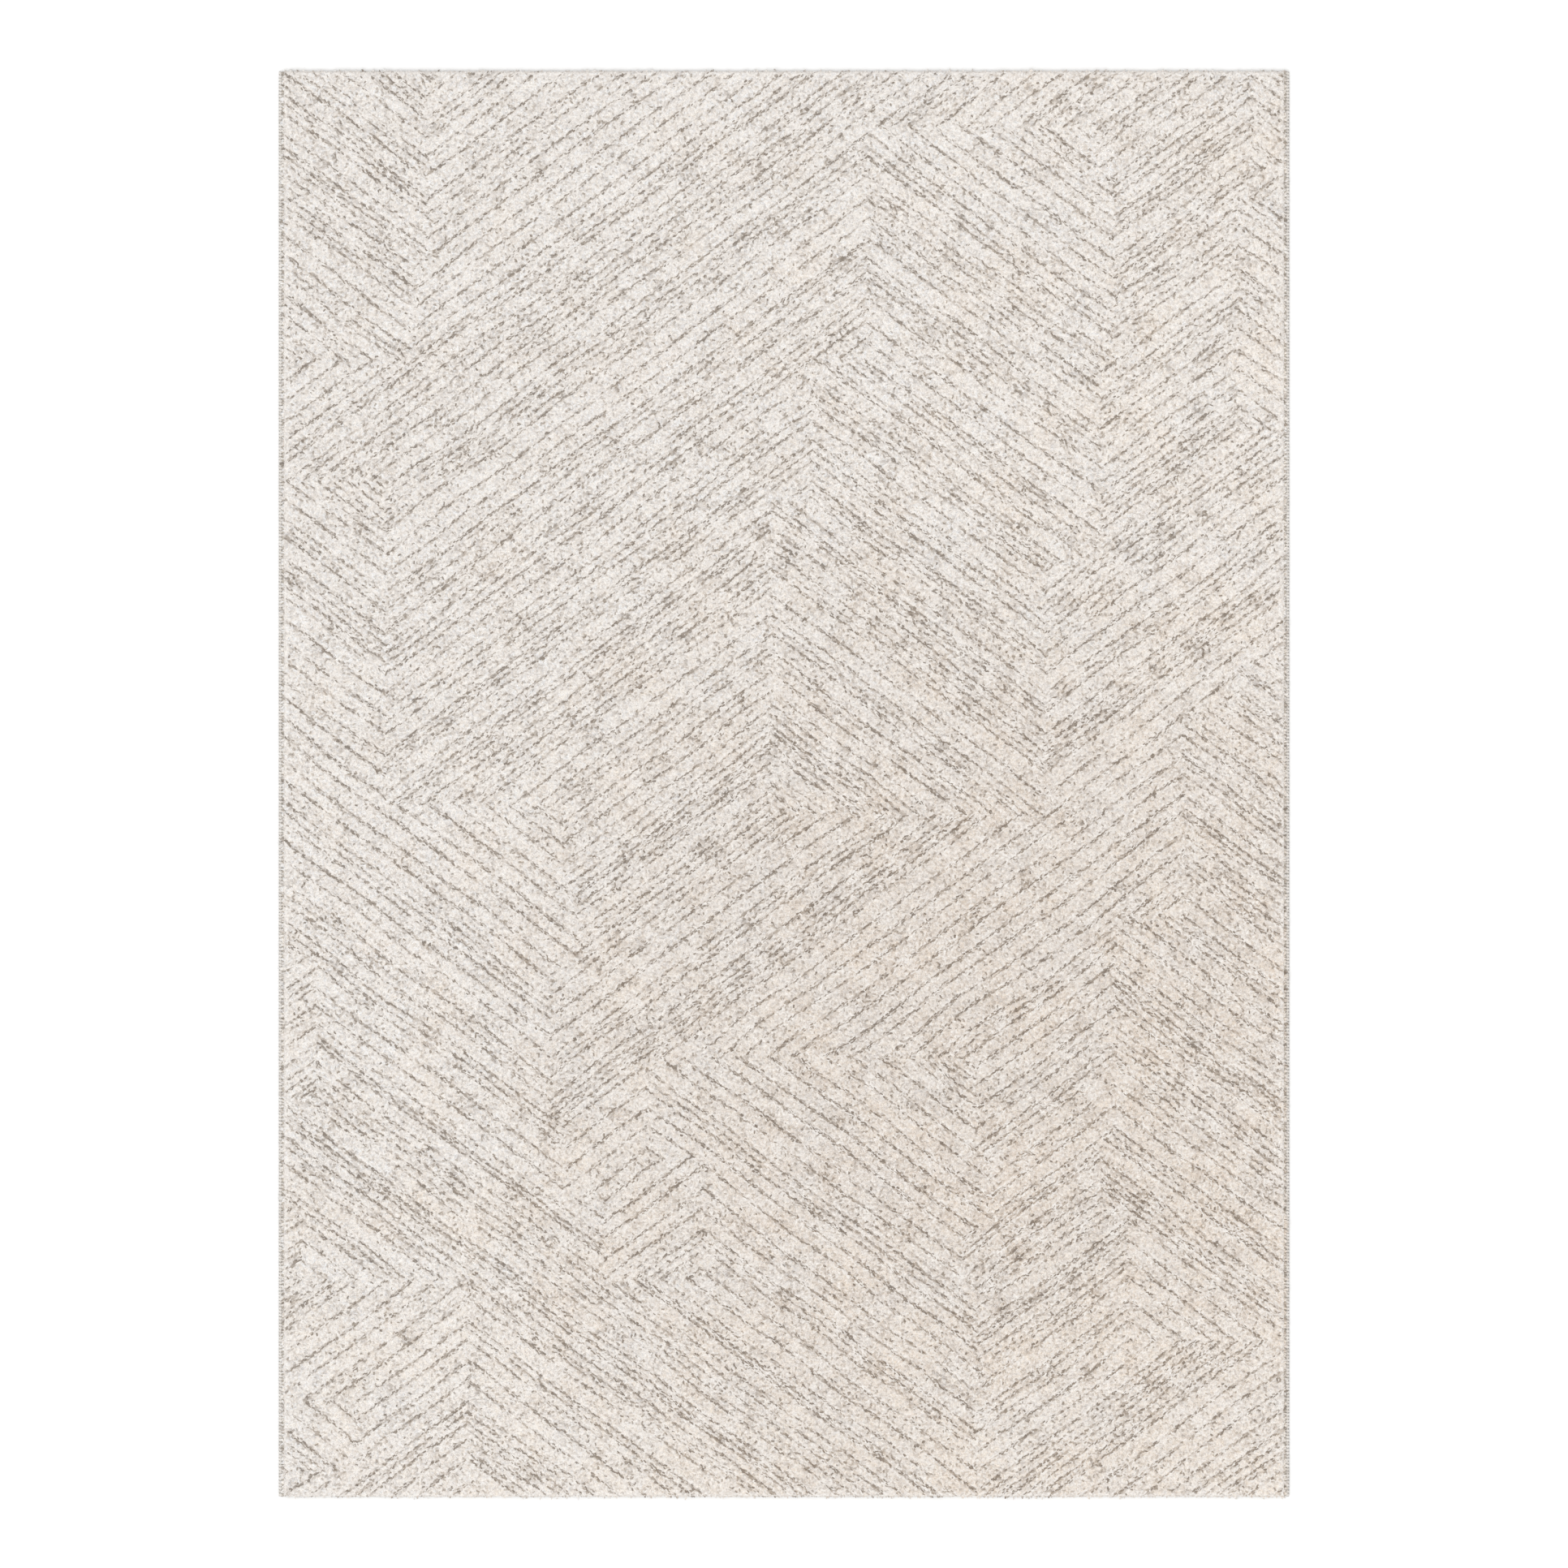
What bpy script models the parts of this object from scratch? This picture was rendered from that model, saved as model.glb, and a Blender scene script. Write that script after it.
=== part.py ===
"""Area rug: a ribbed pile in fields of two slants, tufted through a ground cloth whose ends are
turned under, on a latex coat and a woven backing, with overcast cords along both sides.

Metres, +Z up. The rug lies flat on z = 0, centred on the origin, with its length along Y.
"""
from math import asin, cos, floor, hypot, pi, sin

import bmesh
import bpy

# Driving dimensions
RUG_WIDTH = 1.700
RUG_LENGTH = 2.400
GAP = 0.0003                  # clearance between neighbouring solids

BACKING_THICKNESS = 0.0016
LATEX_THICKNESS = 0.0009
GROUND_THICKNESS = 0.0009
PILE_HEIGHT = 0.0095
PILE_OVERHANG = 0.0018        # how far the end tufts stand past the turned ends

RIB_PITCH = 0.034             # from one shorn line to the next, along Y
RIB_SLOPE = 0.735             # rise per run of a rib
LINE_WIDTH = 0.007            # shorn line between two ribs, along Y
LINE_DEPTH = 0.0026

CORD_DIAMETER = 0.0040
CORD_SIDES = 16
SERGING_THICKNESS = 0.0011
SERGING_STEPS = 20            # flats round the overcast edge

HEM_DEPTH = 0.025             # turned-under end of the ground cloth
HEM_RELIEF = 0.003            # where the ground narrows before its fold
FOLD_STEPS = 6
TAPE_WIDTH = 0.040
TAPE_THICKNESS = 0.0005
HEM_THREAD_DIAMETER = 0.00045
THREAD_LIFT = 0.00005         # threads stay just clear of the floor

LABEL_WIDTH = 0.060
LABEL_LENGTH = 0.040
LABEL_THICKNESS = 0.00025
LABEL_THREAD_DIAMETER = 0.0003
LABEL_THREAD_INSET = 0.003
LABEL_SIDE_INSET = 0.090      # from the side of the backing to the label
LABEL_END_INSET = 0.030       # from the end of the backing to the label

WELD_DISTANCE = 1e-5
CUT_TOLERANCE = 1e-6
FLAT_ANGLE = 0.001

# Fields of falling ribs, as shares of the pile's width (from the left side) and of its
# length (from the far end). Each outline runs anticlockwise as seen from above.
LEFT_CORNER = [(0, 0), (0, 0.20), (0.14, 0.20), (0.14, 0)]
LEFT_SIDE = [
    (0, 0.285), (0, 0.85), (0.19, 0.85), (0.19, 1), (0.69, 1), (0.69, 0.695),
    (0.37, 0.695), (0.37, 0.76), (0.42, 0.76), (0.42, 0.85), (0.32, 0.85), (0.32, 0.76),
    (0.28, 0.76), (0.28, 0.51), (0.11, 0.51), (0.11, 0.285),
]
CENTRE = [
    (0.59, 0.043), (0.59, 0.205), (0.52, 0.205), (0.52, 0.31), (0.49, 0.31), (0.49, 0.518),
    (0.755, 0.518), (0.755, 0.34), (0.825, 0.34), (0.825, 0.043),
]
RIGHT_TOP = [(0.958, 0), (0.958, 0.25), (1, 0.25), (1, 0)]
RIGHT_SIDE = [
    (0.90, 0.43), (0.90, 0.595), (0.832, 0.595), (0.832, 0.895), (1, 0.895), (1, 0.43),
]
LEFT_BIT = [(0, 0.932), (0, 0.968), (0.072, 0.968), (0.072, 0.932)]

# Fields of rising ribs: the large one has the centre field as an island.
MAIN = [
    (0.14, 0), (0.14, 0.20), (0, 0.20), (0, 0.285), (0.11, 0.285), (0.11, 0.51),
    (0.28, 0.51), (0.28, 0.76), (0.32, 0.76), (0.32, 0.85), (0.42, 0.85), (0.42, 0.76),
    (0.37, 0.76), (0.37, 0.695), (0.69, 0.695), (0.69, 1), (1, 1), (1, 0.895),
    (0.832, 0.895), (0.832, 0.595), (0.90, 0.595), (0.90, 0.43), (1, 0.43), (1, 0.25),
    (0.958, 0.25), (0.958, 0),
]
LEFT_BLOCK = [
    (0, 0.85), (0, 0.932), (0.072, 0.932), (0.072, 0.968), (0, 0.968), (0, 1),
    (0.19, 1), (0.19, 0.85),
]
RISING = 1
FALLING = -1

# Heights of the layers, from the floor up
LATEX_BOTTOM = BACKING_THICKNESS + GAP
GROUND_BOTTOM = LATEX_BOTTOM + LATEX_THICKNESS + GAP
GROUND_TOP = GROUND_BOTTOM + GROUND_THICKNESS
GROUND_MIDDLE = GROUND_BOTTOM + GROUND_THICKNESS / 2
PILE_BOTTOM = GROUND_TOP + GAP
TAPE_BOTTOM = THREAD_LIFT + HEM_THREAD_DIAMETER + GAP
TAPE_TOP = TAPE_BOTTOM + TAPE_THICKNESS
HEM_MIDDLE = TAPE_TOP + GAP + GROUND_THICKNESS / 2
LABEL_BOTTOM = THREAD_LIFT + LABEL_THREAD_DIAMETER + GAP
LABEL_POCKET_TOP = LABEL_BOTTOM + LABEL_THICKNESS + GAP

# Distances from the middle
SERGING_INNER_RADIUS = CORD_DIAMETER / 2 + GAP
SERGING_RADIUS = SERGING_INNER_RADIUS + SERGING_THICKNESS
SERGING_X = RUG_WIDTH / 2 - SERGING_RADIUS
BASE_HALF_WIDTH = RUG_WIDTH / 2 - 2 * SERGING_RADIUS - GAP
GROUND_HALF_WIDTH = SERGING_X - CORD_DIAMETER / 2 - GAP
PILE_HALF_LENGTH = RUG_LENGTH / 2
END_Y = PILE_HALF_LENGTH - PILE_OVERHANG
HEM_FOLD_RADIUS = (GROUND_MIDDLE - HEM_MIDDLE) / 2
HEM_FOLD_Y = END_Y - GROUND_THICKNESS / 2 - HEM_FOLD_RADIUS
HEM_INNER_Y = END_Y - HEM_DEPTH
BACKING_HALF_LENGTH = END_Y - TAPE_WIDTH - GAP


def clear_scene():
    for obj in list(bpy.data.objects):
        bpy.data.objects.remove(obj, do_unlink=True)
    for collection in list(bpy.data.collections):
        bpy.data.collections.remove(collection)


def make_collection(name):
    collection = bpy.data.collections.new(name)
    bpy.context.scene.collection.children.link(collection)
    return collection


def make_material(name, colour, roughness):
    material = bpy.data.materials.new(name)
    material.use_nodes = True
    shader = material.node_tree.nodes["Principled BSDF"]
    shader.inputs["Base Color"].default_value = (*colour, 1.0)
    shader.inputs["Roughness"].default_value = roughness
    shader.inputs["Metallic"].default_value = 0.0
    material.diffuse_color = (*colour, 1.0)
    return material


def add_object(name, data, collection, material=None, location=(0, 0, 0)):
    obj = bpy.data.objects.new(name, data)
    obj.location = location
    if material:
        data.materials.append(material)
        obj.parent = rug_root
    collection.objects.link(obj)
    return obj


def box_mesh(name, size):
    """A box of the given size, centred on its own origin."""
    bm = bmesh.new()
    bmesh.ops.create_cube(bm, size=1.0)
    bmesh.ops.scale(bm, vec=size, verts=bm.verts)
    mesh = bpy.data.meshes.new(name)
    bm.to_mesh(mesh)
    bm.free()
    return mesh


def add_layer(name, half_width, half_length, bottom, thickness, material):
    """A flat rectangular layer, centred on the rug."""
    mesh = box_mesh(name, (2 * half_width, 2 * half_length, thickness))
    return add_object(name, mesh, parts, material, (0, 0, bottom + thickness / 2))


def rib_grid(share_x, share_y):
    """The corner of a field, in metres, moved to the nearest place where ribs can turn.

    Lines of both slants meet on the fields' borders when a border across the rug lies midway
    between two lines at x = 0, and a border along it lies a whole rise of lines from x = 0.
    The outer sides lie half a gap outside the pile, because each outline is then drawn in.
    """
    x = (share_x - 0.5) * (2 * BASE_HALF_WIDTH + GAP)
    y = (0.5 - share_y) * (2 * PILE_HALF_LENGTH + GAP)
    if 0 < share_x < 1:
        step = RIB_PITCH / RIB_SLOPE
        x = round(x / step) * step
    if 0 < share_y < 1:
        y = (floor(y / RIB_PITCH) + 0.5) * RIB_PITCH
    return x, y


def drawn_in(corners, distance):
    """The same outline with every side moved in by the distance."""
    moved = []
    count = len(corners)
    for i in range(count):
        before, here, after = corners[i - 1], corners[i], corners[(i + 1) % count]
        x, y = here
        for start, end in ((before, here), (here, after)):
            length = hypot(end[0] - start[0], end[1] - start[1])
            x -= distance * (end[1] - start[1]) / length
            y += distance * (end[0] - start[0]) / length
        moved.append((x, y))
    return moved


def outline_plate(name, outlines, thickness):
    """A welded plate with the given outlines, the first outside and the others as holes."""
    curve = bpy.data.curves.new(name, "CURVE")
    curve.dimensions = "2D"
    curve.fill_mode = "BOTH"
    curve.extrude = thickness / 2
    for corners in outlines:
        spline = curve.splines.new("POLY")
        spline.points.add(len(corners) - 1)
        for point, (x, y) in zip(spline.points, corners):
            point.co = (x, y, 0, 1)
        spline.use_cyclic_u = True
    guide = add_object(name + "_outline", curve, cutters)
    graph = bpy.context.evaluated_depsgraph_get()
    mesh = bpy.data.meshes.new_from_object(guide.evaluated_get(graph))
    mesh.name = name
    bpy.data.objects.remove(guide, do_unlink=True)
    bpy.data.curves.remove(curve)

    bm = bmesh.new()
    bm.from_mesh(mesh)
    bmesh.ops.remove_doubles(bm, verts=bm.verts, dist=WELD_DISTANCE)
    bmesh.ops.dissolve_limit(bm, angle_limit=FLAT_ANGLE, verts=bm.verts, edges=bm.edges)
    bmesh.ops.recalc_face_normals(bm, faces=bm.faces)
    bm.to_mesh(mesh)
    bm.free()
    return mesh


def shear_lines(mesh, slant, top):
    """Cuts the V-shaped lines between the ribs into the top of a plate."""
    bm = bmesh.new()
    bm.from_mesh(mesh)
    slope = slant * RIB_SLOPE
    offsets = [v.co.y - slope * v.co.x for v in bm.verts]
    first = floor(min(offsets) / RIB_PITCH)
    last = floor(max(offsets) / RIB_PITCH) + 1
    for line in range(first, last + 1):
        for side in (-0.5, 0, 0.5):
            faces = [f for f in bm.faces if f.normal.z > 0.5]
            edges = {e for f in faces for e in f.edges}
            verts = {v for f in faces for v in f.verts}
            bmesh.ops.bisect_plane(
                bm,
                geom=[*faces, *edges, *verts],
                dist=CUT_TOLERANCE,
                plane_co=(0, line * RIB_PITCH + side * LINE_WIDTH, 0),
                plane_no=(-slope, 1, 0),
            )
    tops = [v for v in bm.verts if v.co.z > top - GAP]
    for vert in tops:
        offset = vert.co.y - slope * vert.co.x
        off_line = abs(offset - round(offset / RIB_PITCH) * RIB_PITCH)
        depth = LINE_DEPTH * (1 - off_line / (LINE_WIDTH / 2))
        if depth > CUT_TOLERANCE:
            vert.co.z = top - depth
    bm.to_mesh(mesh)
    bm.free()


def add_pile_field(name, slant, shares, island=None):
    """One field of pile, whose ribs all rise or all fall to the right."""
    outlines = [drawn_in([rib_grid(*corner) for corner in shares], GAP / 2)]
    if island:
        corners = [rib_grid(*corner) for corner in reversed(island)]
        outlines.append(drawn_in(corners, GAP / 2))
    mesh = outline_plate(name, outlines, PILE_HEIGHT)
    shear_lines(mesh, slant, PILE_HEIGHT / 2)
    location = (0, 0, PILE_BOTTOM + PILE_HEIGHT / 2)
    return add_object(name, mesh, parts, pile_yarn, location)


def add_swept_sheet(name, rows, thickness, material, offset):
    """A sheet through rows of points, given thickness by a Solidify modifier."""
    bm = bmesh.new()
    grid = [[bm.verts.new(point) for point in row] for row in rows]
    for row, next_row in zip(grid, grid[1:]):
        for i in range(len(row) - 1):
            bm.faces.new((row[i], row[i + 1], next_row[i + 1], next_row[i]))
    bmesh.ops.recalc_face_normals(bm, faces=bm.faces)
    mesh = bpy.data.meshes.new(name)
    bm.to_mesh(mesh)
    bm.free()
    obj = add_object(name, mesh, parts, material)
    wall = obj.modifiers.new("thickness", "SOLIDIFY")
    wall.thickness = thickness
    wall.offset = offset
    wall.use_even_offset = True
    return obj


def add_ground_cloth():
    """The cloth that holds the tufts, with both ends turned under."""
    fold = []
    for i in range(FOLD_STEPS + 1):
        angle = -pi / 2 + pi * i / FOLD_STEPS
        y = HEM_FOLD_Y + HEM_FOLD_RADIUS * cos(angle)
        z = (GROUND_MIDDLE + HEM_MIDDLE) / 2 + HEM_FOLD_RADIUS * sin(angle)
        fold.append((BASE_HALF_WIDTH, y, z))
    relief_y = HEM_FOLD_Y - HEM_RELIEF
    taper = GROUND_HALF_WIDTH - BASE_HALF_WIDTH
    half = [(BASE_HALF_WIDTH, HEM_INNER_Y, HEM_MIDDLE)]
    half += fold
    half.append((BASE_HALF_WIDTH, relief_y, GROUND_MIDDLE))
    half.append((GROUND_HALF_WIDTH, relief_y - taper, GROUND_MIDDLE))
    path = [(width, -y, z) for width, y, z in half]
    path += reversed(half)
    rows = [[(-width, y, z), (width, y, z)] for width, y, z in path]
    return add_swept_sheet("ground_cloth", rows, GROUND_THICKNESS, ground_cotton, 0)


def add_side_edge(side, sign):
    """The filler cord of one side and the yarn that is overcast round it and the ground."""
    bm = bmesh.new()
    bmesh.ops.create_cone(
        bm,
        cap_ends=True,
        segments=CORD_SIDES,
        radius1=CORD_DIAMETER / 2,
        radius2=CORD_DIAMETER / 2,
        depth=2 * END_Y,
    )
    mesh = bpy.data.meshes.new(side + "_edge_cord")
    bm.to_mesh(mesh)
    bm.free()
    cord = add_object(
        side + "_edge_cord", mesh, parts, filler_cotton, (sign * SERGING_X, 0, SERGING_RADIUS)
    )
    cord.rotation_euler = (pi / 2, 0, 0)

    middle_radius = SERGING_INNER_RADIUS + SERGING_THICKNESS / 2
    above = asin((GROUND_TOP + GAP - SERGING_RADIUS) / SERGING_INNER_RADIUS)
    below = asin((SERGING_RADIUS - GROUND_BOTTOM + GAP) / SERGING_INNER_RADIUS)
    first = pi - above
    last = below - pi
    arc = []
    for i in range(SERGING_STEPS + 1):
        angle = first + (last - first) * i / SERGING_STEPS
        x = sign * (SERGING_X + middle_radius * cos(angle))
        arc.append((x, SERGING_RADIUS + middle_radius * sin(angle)))
    rows = [[(x, -END_Y, z), (x, END_Y, z)] for x, z in arc]
    return add_swept_sheet(side + "_serging", rows, SERGING_THICKNESS, serging_yarn, 0)


def add_tube(name, points, diameter, material, closed):
    curve = bpy.data.curves.new(name, "CURVE")
    curve.dimensions = "3D"
    curve.bevel_depth = diameter / 2
    curve.bevel_resolution = 2
    curve.use_fill_caps = not closed
    spline = curve.splines.new("POLY")
    spline.points.add(len(points) - 1)
    for point, place in zip(spline.points, points):
        point.co = (*place, 1)
    spline.use_cyclic_u = closed
    return add_object(name, curve, parts, material)


def add_end_hem(end, sign):
    """The tape that covers one turned end and the thread that sews it down."""
    tape_mesh = box_mesh(end + "_hem_tape", (2 * BASE_HALF_WIDTH, TAPE_WIDTH, TAPE_THICKNESS))
    tape_y = sign * (END_Y - TAPE_WIDTH / 2)
    tape_z = (TAPE_BOTTOM + TAPE_TOP) / 2
    add_object(end + "_hem_tape", tape_mesh, parts, tape_cotton, (0, tape_y, tape_z))

    thread_y = sign * (END_Y - HEM_DEPTH / 2)
    thread_z = THREAD_LIFT + HEM_THREAD_DIAMETER / 2
    ends = [(-BASE_HALF_WIDTH, thread_y, thread_z), (BASE_HALF_WIDTH, thread_y, thread_z)]
    add_tube(end + "_hem_thread", ends, HEM_THREAD_DIAMETER, sewing_thread, closed=False)


def add_backing_with_label():
    """The woven backing, and the care label sewn into the hollow that it presses there."""
    backing = add_layer(
        "backing_cloth", BASE_HALF_WIDTH, BACKING_HALF_LENGTH, 0, BACKING_THICKNESS, backing_jute
    )
    label_x = -BASE_HALF_WIDTH + LABEL_SIDE_INSET + LABEL_WIDTH / 2
    label_y = -BACKING_HALF_LENGTH + LABEL_END_INSET + LABEL_LENGTH / 2

    pocket_size = (LABEL_WIDTH + 2 * GAP, LABEL_LENGTH + 2 * GAP, 2 * LABEL_POCKET_TOP)
    pocket = add_object(
        "label_pocket", box_mesh("label_pocket", pocket_size), cutters, None, (label_x, label_y, 0)
    )
    pocket.hide_render = True
    pocket.display_type = "WIRE"
    cut = backing.modifiers.new("label pocket", "BOOLEAN")
    cut.operation = "DIFFERENCE"
    cut.object = pocket

    label_mesh = box_mesh("care_label", (LABEL_WIDTH, LABEL_LENGTH, LABEL_THICKNESS))
    label_z = LABEL_BOTTOM + LABEL_THICKNESS / 2
    add_object("care_label", label_mesh, parts, label_satin, (label_x, label_y, label_z))

    reach_x = LABEL_WIDTH / 2 - LABEL_THREAD_INSET
    reach_y = LABEL_LENGTH / 2 - LABEL_THREAD_INSET
    thread_z = THREAD_LIFT + LABEL_THREAD_DIAMETER / 2
    loop = [
        (label_x + x * reach_x, label_y + y * reach_y, thread_z)
        for x, y in ((-1, -1), (1, -1), (1, 1), (-1, 1))
    ]
    add_tube("label_thread", loop, LABEL_THREAD_DIAMETER, sewing_thread, closed=True)


clear_scene()
parts = make_collection("area_rug")
cutters = make_collection("cutters")
rug_root = bpy.data.objects.new("rug_root", None)
parts.objects.link(rug_root)

pile_yarn = make_material("pile_yarn", (0.71, 0.66, 0.60), 0.95)
ground_cotton = make_material("ground_cotton", (0.66, 0.60, 0.51), 0.90)
latex = make_material("latex_coat", (0.78, 0.75, 0.67), 0.60)
backing_jute = make_material("backing_jute", (0.52, 0.41, 0.28), 0.95)
filler_cotton = make_material("filler_cotton", (0.70, 0.66, 0.58), 0.90)
serging_yarn = make_material("serging_yarn", (0.60, 0.54, 0.47), 0.90)
tape_cotton = make_material("tape_cotton", (0.64, 0.58, 0.48), 0.85)
sewing_thread = make_material("sewing_thread", (0.55, 0.48, 0.38), 0.70)
label_satin = make_material("label_satin", (0.85, 0.84, 0.80), 0.50)

add_backing_with_label()
add_layer("latex_coat", BASE_HALF_WIDTH, HEM_INNER_Y - GAP, LATEX_BOTTOM, LATEX_THICKNESS, latex)
add_ground_cloth()

add_pile_field("pile_field_main", RISING, MAIN, island=CENTRE)
add_pile_field("pile_field_left_block", RISING, LEFT_BLOCK)
add_pile_field("pile_field_left_corner", FALLING, LEFT_CORNER)
add_pile_field("pile_field_left_side", FALLING, LEFT_SIDE)
add_pile_field("pile_field_left_bit", FALLING, LEFT_BIT)
add_pile_field("pile_field_centre", FALLING, CENTRE)
add_pile_field("pile_field_right_top", FALLING, RIGHT_TOP)
add_pile_field("pile_field_right_side", FALLING, RIGHT_SIDE)

for side_name, side_sign in (("left", -1), ("right", 1)):
    add_side_edge(side_name, side_sign)
for end_name, end_sign in (("near", -1), ("far", 1)):
    add_end_hem(end_name, end_sign)
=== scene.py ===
from math import cos, pi, radians, sin

import bpy
import numpy as np
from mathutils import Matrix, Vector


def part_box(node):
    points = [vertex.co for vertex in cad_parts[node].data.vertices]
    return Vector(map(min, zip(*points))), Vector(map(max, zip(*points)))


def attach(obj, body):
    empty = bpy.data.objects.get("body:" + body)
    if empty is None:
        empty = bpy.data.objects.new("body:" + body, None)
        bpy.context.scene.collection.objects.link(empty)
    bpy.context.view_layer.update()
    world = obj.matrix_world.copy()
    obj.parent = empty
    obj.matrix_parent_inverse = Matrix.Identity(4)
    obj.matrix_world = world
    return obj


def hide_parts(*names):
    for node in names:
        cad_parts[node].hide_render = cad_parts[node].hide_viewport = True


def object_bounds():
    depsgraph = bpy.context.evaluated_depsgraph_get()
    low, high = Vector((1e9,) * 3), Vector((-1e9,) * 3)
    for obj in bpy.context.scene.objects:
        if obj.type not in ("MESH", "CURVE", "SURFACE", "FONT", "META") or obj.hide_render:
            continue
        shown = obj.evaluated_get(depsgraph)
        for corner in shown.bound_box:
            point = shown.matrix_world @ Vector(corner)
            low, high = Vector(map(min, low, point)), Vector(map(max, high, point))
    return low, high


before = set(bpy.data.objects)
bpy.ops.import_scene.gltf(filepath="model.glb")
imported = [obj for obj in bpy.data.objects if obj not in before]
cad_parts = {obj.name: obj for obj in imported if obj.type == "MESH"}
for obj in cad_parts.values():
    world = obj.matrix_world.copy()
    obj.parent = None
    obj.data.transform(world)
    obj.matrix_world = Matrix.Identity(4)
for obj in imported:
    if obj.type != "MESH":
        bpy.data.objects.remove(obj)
cadLow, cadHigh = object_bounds()
bpy.ops.object.select_all(action='DESELECT')
print('frame loaded:', len(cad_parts), 'nodes')


# shader maths: a socket that can be added, multiplied and so on, one Math node each time
class Wire:
    def __init__(self, paint, socket):
        self.paint = paint
        self.socket = socket

    def maths(self, operation, first, second):
        return self.paint.add('Math', {'operation': operation}, {0: first, 1: second})

    def __add__(self, other):
        return self.maths('ADD', self, other)

    def __sub__(self, other):
        return self.maths('SUBTRACT', self, other)

    def __rsub__(self, other):
        return self.maths('SUBTRACT', other, self)

    def __mul__(self, other):
        return self.maths('MULTIPLY', self, other)

    def __pow__(self, other):
        return self.maths('POWER', self, other)

    def wave(self):
        return self.maths('SINE', self, 0)    # Math nodes with one input ignore the second

    def size(self):
        return self.maths('ABSOLUTE', self, 0)

    def clipped(self):
        return self.paint.add('Clamp', {}, {'Value': self})

    __radd__ = __add__
    __rmul__ = __mul__


# one material, and one method that adds any node to it
class Paint:
    def __init__(self, name):
        self.material = bpy.data.materials.new(name)
        self.material.use_nodes = True
        self.tree = self.material.node_tree
        self.tree.nodes.clear()

    def add(self, kind, settings, inputs, output=0):
        node = self.tree.nodes.new('ShaderNode' + kind)
        for name, value in settings.items():
            if name == 'stops':
                self.setStops(node.color_ramp, value)
            else:
                setattr(node, name, value)
        for name, value in inputs.items():
            if isinstance(value, Wire):
                self.tree.links.new(value.socket, node.inputs[name])
            else:
                node.inputs[name].default_value = value
        return Wire(self, node.outputs[output] if node.outputs else None)

    def setStops(self, ramp, stops):
        ramp.elements[0].position = stops[0][0]
        ramp.elements[1].position = stops[-1][0]
        for position, _ in stops[1:-1]:
            ramp.elements.new(position)
        for element, (position, colour) in zip(ramp.elements, stops):
            element.color = (*colour, 1)

    def place(self):
        return self.add('TexCoord', {}, {}, 'Object')

    def axes(self):
        split = self.add('SeparateXYZ', {}, {'Vector': self.place()})
        node = split.socket.node
        return [Wire(self, node.outputs[axis]) for axis in 'XYZ']

    def attribute(self, name):
        return self.add('Attribute', {'attribute_name': name}, {}, 'Fac')

    def cloud(self, scale, detail=2, where=None):
        return self.add('TexNoise', {}, {
            'Vector': where or self.place(), 'Scale': scale, 'Detail': detail})

    def ramp(self, amount, stops):
        return self.add('ValToRGB', {'stops': stops}, {'Fac': amount})

    def mix(self, amount, first, second, blend='MIX'):
        settings = {'data_type': 'RGBA', 'blend_type': blend}
        return self.add('Mix', settings, {0: amount, 6: first, 7: second}, 2)

    def bump(self, height, distance, strength=1):
        return self.add('Bump', {}, {
            'Height': height, 'Distance': distance, 'Strength': strength})

    def finish(self, colour, roughness, normal=None, **fixed):
        inputs = {'Base Color': colour, 'Roughness': roughness, **fixed}
        if normal:
            inputs['Normal'] = normal
        shader = self.add('BsdfPrincipled', {}, inputs)
        self.add('OutputMaterial', {}, {'Surface': shader})
        return self.material


# names the shape that was just added, and gives it its material
def startPiece(name, material):
    piece = bpy.context.active_object
    piece.name = name
    piece.data.name = name
    piece.data.materials.clear()
    piece.data.materials.append(material)
    return piece


# bends sharper than this stay creased on cloths and cords
creaseAngle = radians(50)


# whether two lengths agree, near enough to pick an edge by its place
def meets(first, second):
    return abs(first - second) < 0.0001


# selects the vertices or edges whose places are wanted, and stays in edit mode
def pick(piece, kind, wanted):
    bpy.ops.object.mode_set(mode='EDIT')
    bpy.ops.mesh.select_mode(type=kind)
    bpy.ops.mesh.select_all(action='DESELECT')
    bpy.ops.object.mode_set(mode='OBJECT')
    mesh = piece.data
    for vertex in mesh.vertices:
        if kind == 'VERT' and wanted(vertex.co):
            vertex.select = True
    for edge in mesh.edges:
        if kind == 'EDGE':
            edge.select = all(wanted(mesh.vertices[v].co) for v in edge.vertices)
    bpy.ops.object.mode_set(mode='EDIT')


def arrayOf(piece, count, step):
    copies = piece.modifiers.new('copies', 'ARRAY')
    copies.count = count
    copies.use_relative_offset = False
    copies.use_constant_offset = True
    copies.constant_offset_displace = step
    bpy.ops.object.modifier_apply(modifier=copies.name)


def readPlaces(piece):
    places = np.empty(len(piece.data.vertices) * 3)
    piece.data.vertices.foreach_get('co', places)
    return places.reshape(-1, 3)


def writePlaces(piece, places):
    piece.data.vertices.foreach_set('co', places.ravel())
    piece.data.update()


def addAttribute(piece, name, values):
    data = piece.data.attributes.new(name, 'FLOAT', 'POINT')
    data.data.foreach_set('value', np.ascontiguousarray(values, dtype=np.float32).ravel())


# smooth noise of about unit size, made of a few sine waves
def softNoise(x, y, wavelength, seed):
    rng = np.random.default_rng(seed)
    total = np.zeros_like(x)
    waves = 8
    for _ in range(waves):
        turn = rng.uniform(0, 2 * pi)
        number = 2 * pi / (wavelength * rng.uniform(0.7, 1.5))
        start = rng.uniform(0, 2 * pi)
        total += np.sin(number * (x * cos(turn) + y * sin(turn)) + start)
    return total * (2 / waves) ** 0.5


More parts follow.
